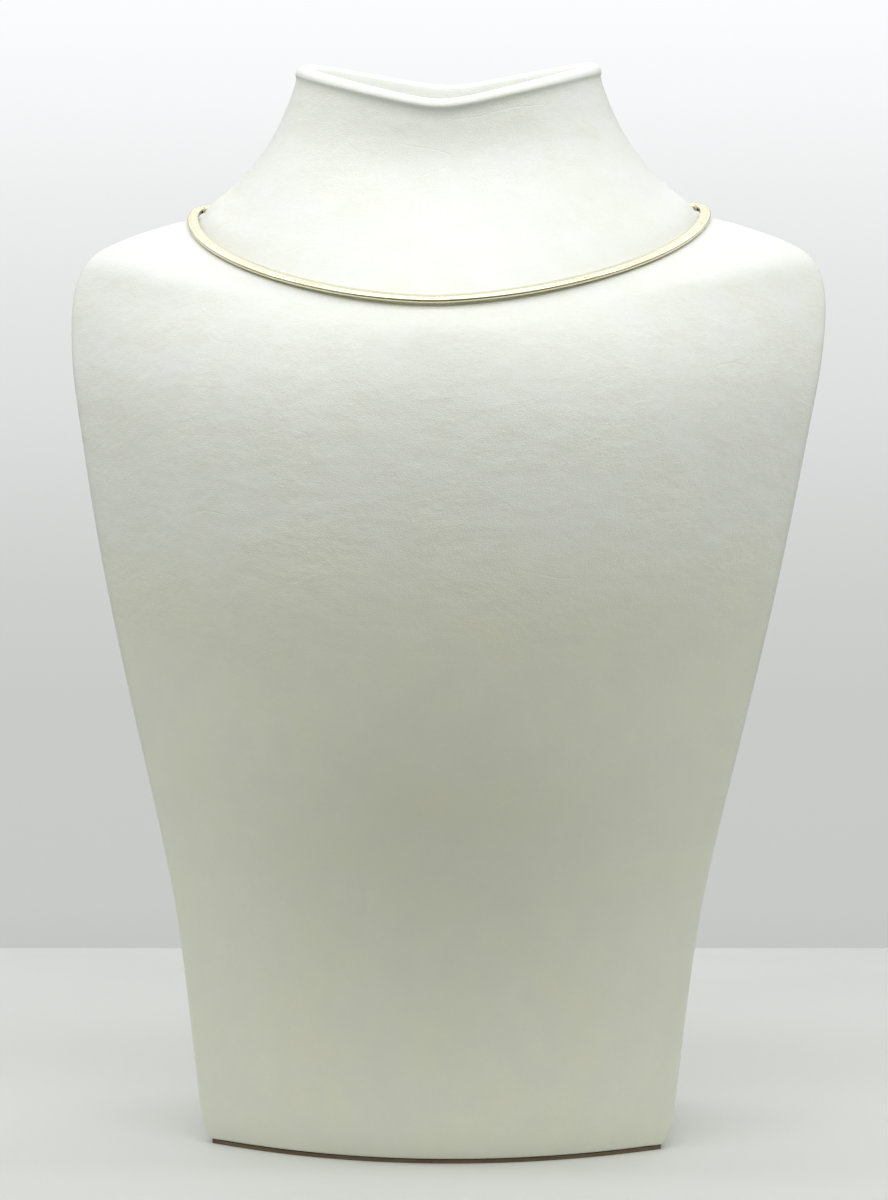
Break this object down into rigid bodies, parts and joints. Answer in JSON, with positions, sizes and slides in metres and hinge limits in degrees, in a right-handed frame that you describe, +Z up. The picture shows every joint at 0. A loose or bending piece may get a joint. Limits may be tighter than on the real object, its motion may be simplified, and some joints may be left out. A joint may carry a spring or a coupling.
{
  "type": "snake chain choker on a neck bust",
  "caption": "Flat snake chain choker of pale gold metal lying round the neck of a white leatherette bust with a flat back, an open rolled neck and a thin board base.",
  "frame": {"origin": "centre of the bounding box in plan, at the underside of the base board, where the bust stands", "axes": "+Z up, -Y towards the front of the bust, +X to the right as seen from the front"},
  "size_m": [0.2076, 0.1054, 0.2912],
  "materials": {
    "leatherette": "white, satin, finely grained",
    "board": "brown fibreboard, matt",
    "pale_gold": "polished pale gold"
  },
  "bodies": {
    "root": {"neck_bust": "leatherette", "base_board": "board", "snake_chain": "pale_gold", "clasp": "pale_gold"}
  },
  "joints": []
}
